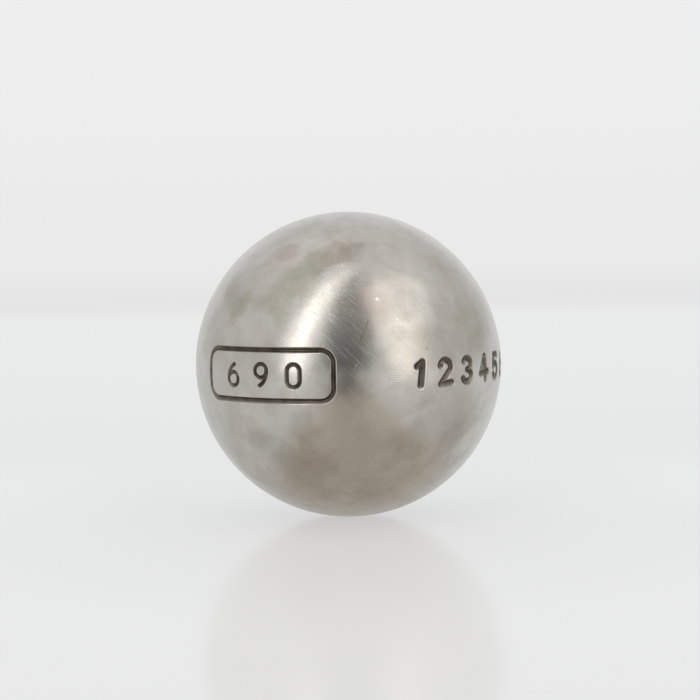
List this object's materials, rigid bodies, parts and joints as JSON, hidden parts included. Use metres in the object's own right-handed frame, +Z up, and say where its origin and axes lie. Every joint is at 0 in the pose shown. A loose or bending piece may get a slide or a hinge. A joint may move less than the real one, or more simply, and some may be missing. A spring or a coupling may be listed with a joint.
{
  "type": "petanque boule",
  "caption": "Hollow satin steel throwing ball made of welded half shells, with a milled frame on its front for the weight mark.",
  "frame": {"origin": "centre of the ball", "axes": "+Z up; +Y along the weld axis from the marked half to the plain half, so the marks face -Y; +X to the right as the marks are read"},
  "size_m": [0.074, 0.074, 0.074],
  "materials": {
    "shell_steel": "satin",
    "weld_steel": "satin"
  },
  "bodies": {
    "root": {"marked_half_shell": "shell_steel", "plain_half_shell": "shell_steel", "weld_seam": "weld_steel"}
  },
  "joints": []
}
